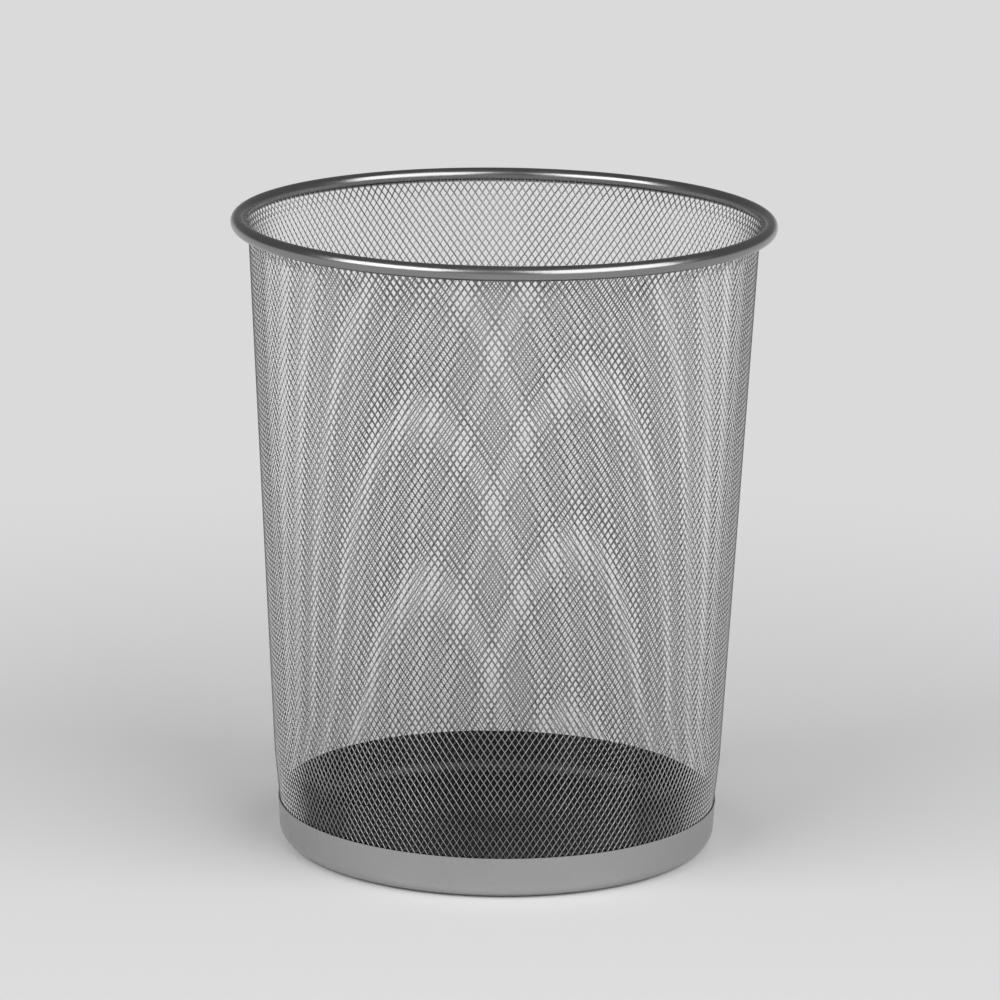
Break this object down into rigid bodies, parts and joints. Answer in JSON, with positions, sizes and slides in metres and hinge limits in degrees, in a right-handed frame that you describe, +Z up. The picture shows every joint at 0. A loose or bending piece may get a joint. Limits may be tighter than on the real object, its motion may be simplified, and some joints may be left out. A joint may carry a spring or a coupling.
{
  "type": "wastebasket",
  "caption": "Round tapered wastebasket with an expanded-metal mesh wall, a rolled tube rim and a closed pressed base; holds waste paper beside a desk.",
  "frame": {"origin": "centre of the round underside, on the floor the basket stands on", "axes": "+Z up along the basket's axis; the basket is round, so +X and +Y have no features of their own"},
  "size_m": [0.296, 0.296, 0.35],
  "materials": {
    "rim_coat": "satin dark silver enamel on steel",
    "mesh_coat": "satin silver enamel on expanded steel",
    "base_coat": "satin silver enamel on steel",
    "pan_coat": "matt black enamel on steel"
  },
  "bodies": {
    "root": {"rim_tube": "rim_coat", "mesh_wall": "mesh_coat", "base_cup": "base_coat", "floor_pan": "pan_coat"}
  },
  "joints": []
}
